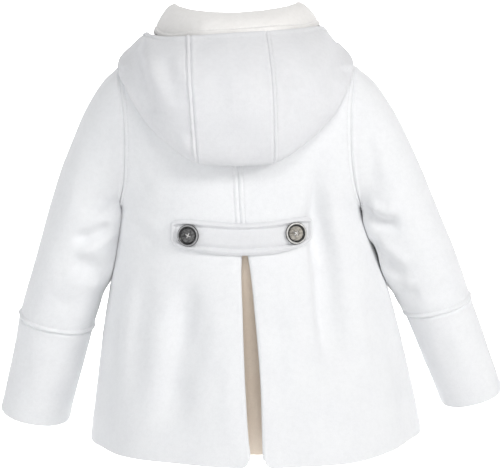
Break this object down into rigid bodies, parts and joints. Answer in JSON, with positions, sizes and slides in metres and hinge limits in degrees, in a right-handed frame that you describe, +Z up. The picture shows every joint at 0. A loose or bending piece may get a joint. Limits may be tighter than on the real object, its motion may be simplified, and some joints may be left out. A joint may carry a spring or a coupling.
{
  "type": "hooded coat",
  "caption": "Child's hooded wool coat, filled out, with a turn-down collar, half belt, inverted back pleat and buttons.",
  "frame": {"origin": "middle of the neck opening, level with the tops of the shoulder seams", "axes": "front faces -Y, back faces +Y, +X towards the wearer's left, +Z up"},
  "size_m": [0.579, 0.2884, 0.4936],
  "materials": {
    "coat_cloth": "matt felted wool, white",
    "collar_cloth": "matt felted wool, warm white",
    "underlay_cloth": "matt cloth, beige",
    "button": "mottled grey horn look, satin"
  },
  "bodies": {
    "root": {"back_left": "coat_cloth", "back_right": "coat_cloth", "pleat_underlay": "underlay_cloth", "front_left": "coat_cloth", "front_right": "coat_cloth", "sleeve_left": "coat_cloth", "sleeve_right": "coat_cloth", "cuff_left": "coat_cloth", "cuff_right": "coat_cloth", "collar": "collar_cloth", "hood_centre": "coat_cloth", "hood_left": "coat_cloth", "hood_right": "coat_cloth", "half_belt": "coat_cloth", "belt_button_left": "button", "belt_button_right": "button", "front_button_1": "button", "front_button_2": "button", "front_button_3": "button", "front_button_4": "button"}
  },
  "joints": []
}
